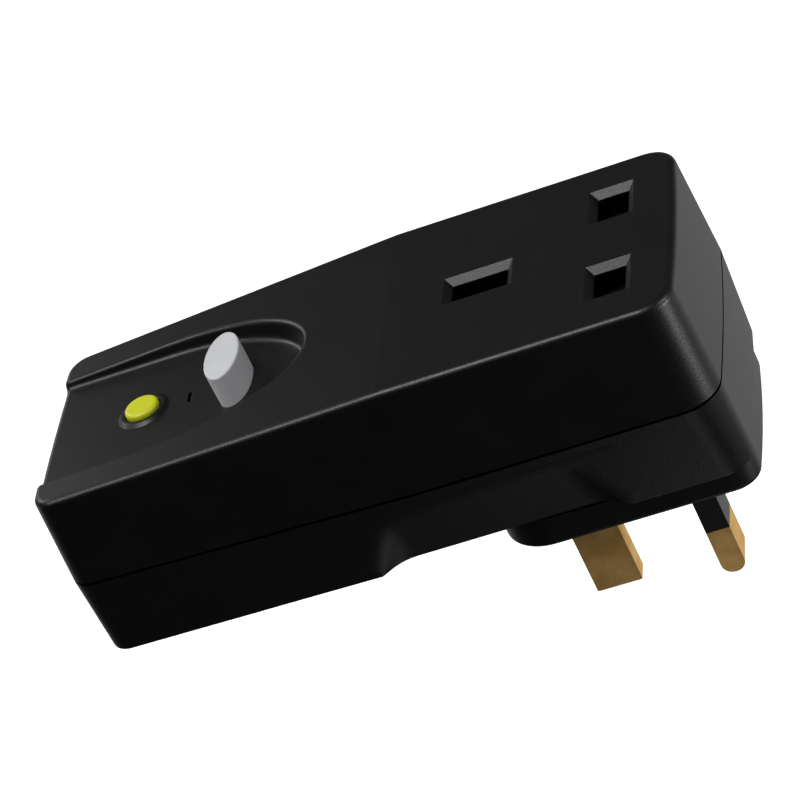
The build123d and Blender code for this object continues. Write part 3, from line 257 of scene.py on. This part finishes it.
def wound_wire(name, dark, light, pitch_mm, along):
    """Enamelled copper wire in close turns: ridges one wire apart under a clear lacquer."""
    material, tree, shader, place = start(
        name, {"Roughness": 0.32, "Coat Weight": 0.6, "Coat Roughness": 0.15, "IOR": 1.5}
    )
    turns = add(
        tree, "ShaderNodeTexWave",
        {"Vector": place, "Scale": 1 / (pitch_mm * MM) / WAVE_TURN, "Distortion": 0.4, "Detail": 1.0},
        {"bands_direction": along},
    ).outputs["Fac"]
    colour, _ = mottle(tree, place, 2.5, dark, light)
    tree.links.new(colour, shader.inputs["Base Color"])
    raise_by(tree, shader, turns, 0.08)
    return material


# Black ABS with a fine spark-eroded grain: soft sheen at a glancing view, deep black head-on; its gaps,
# seam and aperture walls get painted shade
housing_abs = moulded(
    "moulded_black_abs", "#050506", "#080809", 0.34, 0.45, 0.42, 0.009,
    {"IOR": 1.5, "Specular IOR Level": 0.35}, EDGE_RADII
)
# Smooth black nylon on the pin sleeves: a little shinier than the housing
sleeve_nylon = moulded(
    "moulded_black_nylon", "#0b0b0c", "#0f0f10", 0.34, 0.44, 0.5, 0.002, {"IOR": 1.52}
)
# Yellow ABS test button: clean, slightly waxy
yellow_abs = moulded(
    "moulded_yellow_abs", "#b4b912", "#bec31a", 0.38, 0.48, 0.5, 0.003,
    {"IOR": 1.5, "Subsurface Weight": 0.12, "Subsurface Radius": (0.0012, 0.001, 0.0004)},
)
# Light grey ABS reset button: even and satin
grey_abs = moulded(
    "moulded_light_grey_abs", "#b7b8bb", "#bfc0c2", 0.4, 0.5, 0.5, 0.003,
    {"IOR": 1.5, "Subsurface Weight": 0.08, "Subsurface Radius": (0.001, 0.001, 0.001)},
)
# Natural nylon of carrier, bobbin and contact block: milky and waxy
natural_nylon = moulded(
    "moulded_natural_nylon", "#d8d2bf", "#e2ddcc", 0.36, 0.5, 0.6, 0.004,
    {"IOR": 1.53, "Subsurface Weight": 0.2, "Subsurface Radius": (0.002, 0.0016, 0.001)},
)
# Dark glass-filled nylon of the chassis: dull with a coarser grain
dark_nylon = moulded("moulded_dark_nylon", "#26272a", "#303135", 0.5, 0.65, 0.3, 0.008, {"IOR": 1.52})
# Black shutter behind the apertures: smooth, so that it slides
shutter_acetal = moulded(
    "moulded_black_acetal", "#060606", "#080808", 0.3, 0.4, 0.6, 0.002, {"IOR": 1.48}
)
# Epoxy moulding of chip and diodes: flat black with a sandy grain
epoxy = moulded("moulded_black_epoxy", "#141415", "#1c1c1e", 0.6, 0.75, 0.2, 0.006, {"IOR": 1.55})
# Ferrite ring: charcoal, sintered grain
ferrite = moulded("sintered_ferrite", "#2c2c2e", "#3a3a3d", 0.62, 0.8, 0.25, 0.01, {"IOR": 1.6})
# Turned and stamped brass of pins and contacts: warm, lightly brushed, dulled by handling
brass = drawn_metal("stamped_brass", "#dcb26a", "#ecc988", 0.6, 0.78, 0.3, 0.01, 2)
# Copper bars and bridges: bright, rolled along their length
copper = drawn_metal("rolled_copper", "#b8704a", "#d08a60", 0.28, 0.42, 0.12, 0.003, 0)
# Zinc-plated steel of screws: pale, slightly cloudy
zinc_steel = drawn_metal("zinc_plated_steel", "#9b9ca0", "#b4b5b8", 0.3, 0.46, 0.15, 0.003, 2)
# Nickel-plated steel of yoke and latch: brighter and smoother
nickel_steel = drawn_metal("nickel_plated_steel", "#aaa69c", "#bfbbb1", 0.22, 0.34, 0.15, 0.002, 0)
# Spring steel: darker, drawn along the wire
spring_steel = drawn_metal("drawn_spring_steel", "#77787c", "#8d8e92", 0.24, 0.36, 0.1, 0.003, 2)
# Enamelled wire of winding and coil: dark copper turns under lacquer
enamelled_wire = wound_wire("enamelled_copper_wire", "#7a3310", "#94471c", 0.45, "X")


def board_material():
    """Glass-epoxy board under green solder resist: the weave shows faintly through a glossy coat."""
    material, tree, shader, place = start(
        "solder_resist_board", {"Coat Weight": 0.5, "Coat Roughness": 0.12, "IOR": 1.55}
    )
    colour, marks = mottle(tree, place, 4.0, "#0d4a20", "#14592a")
    weave = add(
        tree, "ShaderNodeTexChecker",
        {"Vector": place, "Scale": 1 / (0.8 * MM),
         "Color1": (1, 1, 1, 1), "Color2": (0.75, 0.75, 0.75, 1)},
    ).outputs["Fac"]
    tree.links.new(colour, shader.inputs["Base Color"])
    sheen = add(tree, "ShaderNodeMapRange", {"Value": marks, "To Min": 0.3, "To Max": 0.42})
    tree.links.new(sheen.outputs["Result"], shader.inputs["Roughness"])
    raise_by(tree, shader, weave, 0.004)
    return material


def dipped(name, dark, light):
    """Dip-coated component body: thick glossy lacquer with an uneven skin."""
    material, tree, shader, place = start(name, {"Coat Weight": 0.7, "Coat Roughness": 0.08, "IOR": 1.5})
    colour, marks = mottle(tree, place, 1.8, dark, light)
    tree.links.new(colour, shader.inputs["Base Color"])
    sheen = add(tree, "ShaderNodeMapRange", {"Value": marks, "To Min": 0.28, "To Max": 0.4})
    tree.links.new(sheen.outputs["Result"], shader.inputs["Roughness"])
    raise_by(tree, shader, marks, 0.05)
    return material


# Finish of each material slot; the leads are smooth extruded PVC with a satin skin
finishes = {
    "housing": housing_abs,
    "sleeve": sleeve_nylon,
    "test_button": yellow_abs,
    "reset_button": grey_abs,
    "natural_plastic": natural_nylon,
    "dark_plastic": dark_nylon,
    "shutter": shutter_acetal,
    "chip": epoxy,
    "ferrite": ferrite,
    "brass": brass,
    "copper": copper,
    "screw": zinc_steel,
    "plated_steel": nickel_steel,
    "spring_steel": spring_steel,
    "enamel_wire": enamelled_wire,
    "board": board_material(),
    "capacitor": dipped("dipped_yellow_lacquer", "#b98d1c", "#cc9f28"),
    "varistor": dipped("dipped_blue_lacquer", "#1b4583", "#245397"),
    "resistor": dipped("dipped_tan_lacquer", "#a98a62", "#bb9c73"),
    "lead_brown": moulded(
        "extruded_brown_pvc", "#3e2112", "#4a2a18", 0.4, 0.5, 0.6, 0.003, {"IOR": 1.52}
    ),
    "lead_blue": moulded(
        "extruded_blue_pvc", "#0f3470", "#173f80", 0.4, 0.5, 0.6, 0.003, {"IOR": 1.52}
    ),
}
slot_of = {entry["node"]: entry["material_slot"] for entry in frame["record"]["subparts"]}
for node, piece in frame["nodes"].items():
    finish = finishes[slot_of[node]]
    if not piece.material_slots:
        piece.data.materials.append(finish)
    for slot in piece.material_slots:
        slot.material = finish


# Springs, each a copy of its node that takes its place on the housing; the copy is not squeezed:
# node, joint, axis by number, fixed end along that axis and travel in millimetres
SPRINGS = (
    ("reset_spring", "reset_press", 2, 25.95, 3.0),
    ("test_leaf", "test_press", 2, 25.95, 1.0),
    ("shutter_spring", "shutter_slide", 0, -42.7, 6.0),
    ("plunger_spring", "plunger_slide", 0, -91.85, 0.8),
)
for node, joint, along, fixed_mm, travel_mm in SPRINGS:
    spring = bpy.data.objects.new(node + "_squeezed", frame["nodes"][node].data.copy())
    bpy.context.scene.collection.objects.link(spring)
    lowest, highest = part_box(node)
    anchor = [(low + high) / 2 for low, high in zip(lowest, highest)]
    anchor[along] = fixed_mm * MM
    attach(spring, "housing")
    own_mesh(spring)
    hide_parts(node)


# Stage: white where the camera looks, and in reflections bright behind the object and dark before it
FLOOR_Z = -230 * MM
FLOOR_HALF = 6.0
floor_mesh = bpy.data.meshes.new("studio_floor")
floor_mesh.from_pydata(
    [(-FLOOR_HALF, -FLOOR_HALF, FLOOR_Z), (FLOOR_HALF, -FLOOR_HALF, FLOOR_Z),
     (FLOOR_HALF, FLOOR_HALF, FLOOR_Z), (-FLOOR_HALF, FLOOR_HALF, FLOOR_Z)],
    [], [(0, 1, 2, 3)],
)
floor = bpy.data.objects.new("studio_floor", floor_mesh)
bpy.context.scene.collection.objects.link(floor)

# Floor: glow in reflections before and behind the object, where it starts to rise and is full,
# and glow for the camera
FLOOR_DARK = 0.035
FLOOR_BRIGHT = 0.56
FLOOR_NEAR = 40 * MM
FLOOR_FAR = 300 * MM
FLOOR_GLOW = 0.8
paper = bpy.data.materials.new("matt_white_paper")
paper.use_nodes = True
paper_tree = paper.node_tree
paper_tree.nodes.clear()
rays = add(paper_tree, "ShaderNodeLightPath").outputs
on_floor = add(paper_tree, "ShaderNodeTexCoord").outputs["Object"]
floor_axes = add(paper_tree, "ShaderNodeSeparateXYZ", {"Vector": on_floor}).outputs
behind = add(
    paper_tree, "ShaderNodeMapRange",
    {"Value": floor_axes["Y"], "From Min": FLOOR_NEAR, "From Max": FLOOR_FAR,
     "To Min": FLOOR_DARK, "To Max": FLOOR_BRIGHT},
    {"interpolation_type": "SMOOTHSTEP"},
).outputs["Result"]
mirrored = add(
    paper_tree, "ShaderNodeMath", {0: behind, 1: rays["Is Glossy Ray"]}, {"operation": "MULTIPLY"}
).outputs["Value"]
glow_level = add(
    paper_tree, "ShaderNodeMath", {0: rays["Is Camera Ray"], 1: FLOOR_GLOW, 2: mirrored},
    {"operation": "MULTIPLY_ADD"},
).outputs["Value"]
sheet_colour = add(
    paper_tree, "ShaderNodeMix",
    {"Factor": rays["Is Camera Ray"], MIX_A: linear("#202020"), MIX_B: linear("#f4f4f4")},
    {"data_type": "RGBA"},
)
matt = add(paper_tree, "ShaderNodeBsdfDiffuse", {"Color": sheet_colour.outputs[MIX_RESULT]})
glow = add(paper_tree, "ShaderNodeEmission", {"Strength": glow_level})
both = add(paper_tree, "ShaderNodeAddShader", {0: matt.outputs["BSDF"], 1: glow.outputs["Emission"]})
add(paper_tree, "ShaderNodeOutputMaterial", {"Surface": both.outputs["Shader"]})
floor_mesh.materials.append(paper)

# World: white for the camera, and for other rays dim in front and brighter behind the object
WORLD_LOW = 0.02
WORLD_BACK = 0.12
WORLD_START = -0.2
WORLD_FULL = 0.7
world = bpy.data.worlds.new("studio")
bpy.context.scene.world = world
world.use_nodes = True
sky = world.node_tree
sky.nodes.clear()
seen = add(sky, "ShaderNodeLightPath").outputs["Is Camera Ray"]
toward = add(sky, "ShaderNodeTexCoord").outputs["Generated"]
sky_axes = add(sky, "ShaderNodeSeparateXYZ", {"Vector": toward}).outputs
back_wall = add(
    sky, "ShaderNodeMapRange",
    {"Value": sky_axes["Y"], "From Min": WORLD_START, "From Max": WORLD_FULL,
     "To Min": WORLD_LOW, "To Max": WORLD_BACK},
    {"interpolation_type": "SMOOTHSTEP"},
).outputs["Result"]
level = add(sky, "ShaderNodeMath", {0: back_wall, 1: seen}, {"operation": "MAXIMUM"})
dome = add(
    sky, "ShaderNodeBackground", {"Color": (1, 1, 1, 1), "Strength": level.outputs["Value"]}
)
add(sky, "ShaderNodeOutputWorld", {"Surface": dome.outputs["Background"]})

# Soft boxes: name, place and aim in millimetres, width and height in millimetres, power in watts
SOFT_BOXES = (
    ("front_box", (-170, -210, 640), (-40, 0, 20), 220, 220, 2.9),
    ("left_high_box", (-520, 260, 380), (-70, 0, 20), 200, 200, 1.0),
    ("right_high_box", (480, -80, 330), (-40, 0, 20), 220, 220, 1.3),
    ("right_low_box", (620, -170, -90), (0, 0, 10), 220, 160, 3.0),
    ("panel_box", (-330, 300, 165), (-85, 0, 35), 140, 140, 0.08),
    ("left_front_box", (-380, -220, 500), (-60, -10, 30), 160, 160, 0.85),
    ("left_low_box", (-720, 200, -200), (-80, 0, 10), 200, 160, 0.1),
    ("scoop_box", (0, -95, -180), (-45, -22, 12), 100, 100, 0.03),
)
for name, place, aim, width, height, power in SOFT_BOXES:
    light = bpy.data.lights.new(name, "AREA")
    light.shape = "RECTANGLE"
    light.size = width * MM
    light.size_y = height * MM
    light.energy = power
    lamp = bpy.data.objects.new(name, light)
    lamp.location = Vector(place) * MM
    lamp.rotation_euler = (Vector(aim) - Vector(place)).to_track_quat("-Z", "Y").to_euler()
    bpy.context.scene.collection.objects.link(lamp)

# Camera: place in millimetres and its three directions, as the photograph was taken
CAMERA_PLACE = Vector((115.74, -461.47, 303.97)) * MM
RIGHT = Vector((0.91620, 0.07494, -0.39365))
DOWN = Vector((-0.28541, -0.56751, -0.77231))
AHEAD = Vector((-0.28128, 0.81995, -0.49857))
SENSOR_MM = 36.0
FOCAL_PIXELS = 3491.4
IMAGE_PIXELS = 800
camera_data = bpy.data.cameras.new("camera")
camera_data.sensor_width = SENSOR_MM
camera_data.lens = FOCAL_PIXELS / IMAGE_PIXELS * SENSOR_MM
camera_data.clip_start = 0.01
camera = bpy.data.objects.new("camera", camera_data)
turn = Matrix((RIGHT, -DOWN, -AHEAD)).transposed()
camera.matrix_world = Matrix.Translation(CAMERA_PLACE) @ turn.to_4x4()
bpy.context.scene.collection.objects.link(camera)
bpy.context.scene.camera = camera
bpy.context.scene.view_settings.view_transform = "Standard"

bpy.context.view_layer.update()
